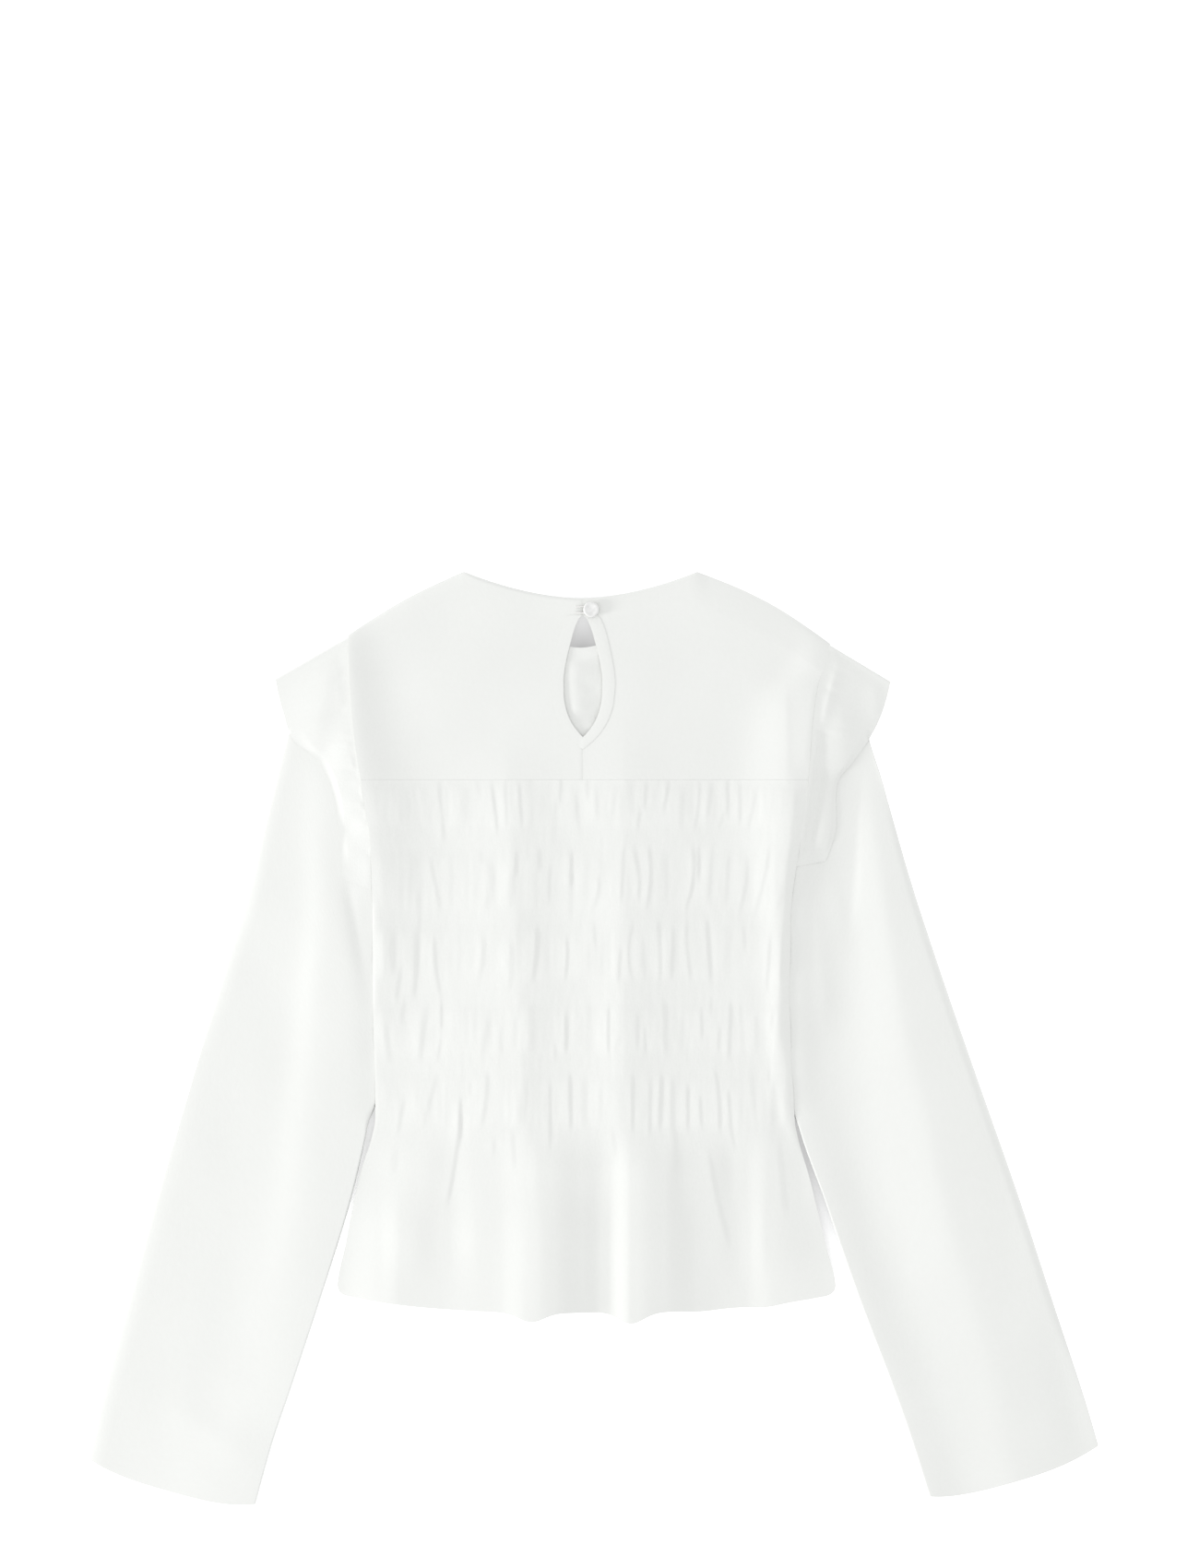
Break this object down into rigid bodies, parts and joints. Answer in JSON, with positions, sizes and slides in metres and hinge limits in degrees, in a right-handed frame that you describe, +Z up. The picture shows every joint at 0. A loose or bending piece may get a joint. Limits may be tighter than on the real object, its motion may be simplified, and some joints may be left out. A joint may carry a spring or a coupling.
{
  "type": "long-sleeved blouse with shirred back",
  "caption": "White blouse laid flat back side up, with a keyhole neck, shoulder frills, a shirred body, a fluted peplum and long straight sleeves",
  "frame": {"origin": "middle of the underside of the whole blouse, on the surface that it lies on", "axes": "+X to the wearer's right and across both sleeves, +Y up the body to the neck, +Z up off the surface, out of the back of the blouse"},
  "size_m": [0.7436, 0.6856, 0.0147],
  "materials": {
    "cloth": "white plain-weave cloth with a soft matt face",
    "button": "white button with a low shine",
    "cord": "thin white rouleau cord"
  },
  "bodies": {
    "root": {"front_yoke": "cloth", "front_body": "cloth", "back_yoke_left": "cloth", "back_yoke_right": "cloth", "keyhole_binding": "cloth", "back_body": "cloth", "sleeve_left": "cloth", "frill_left": "cloth", "sleeve_right": "cloth", "frill_right": "cloth", "button": "button", "button_loop": "cord"}
  },
  "joints": []
}
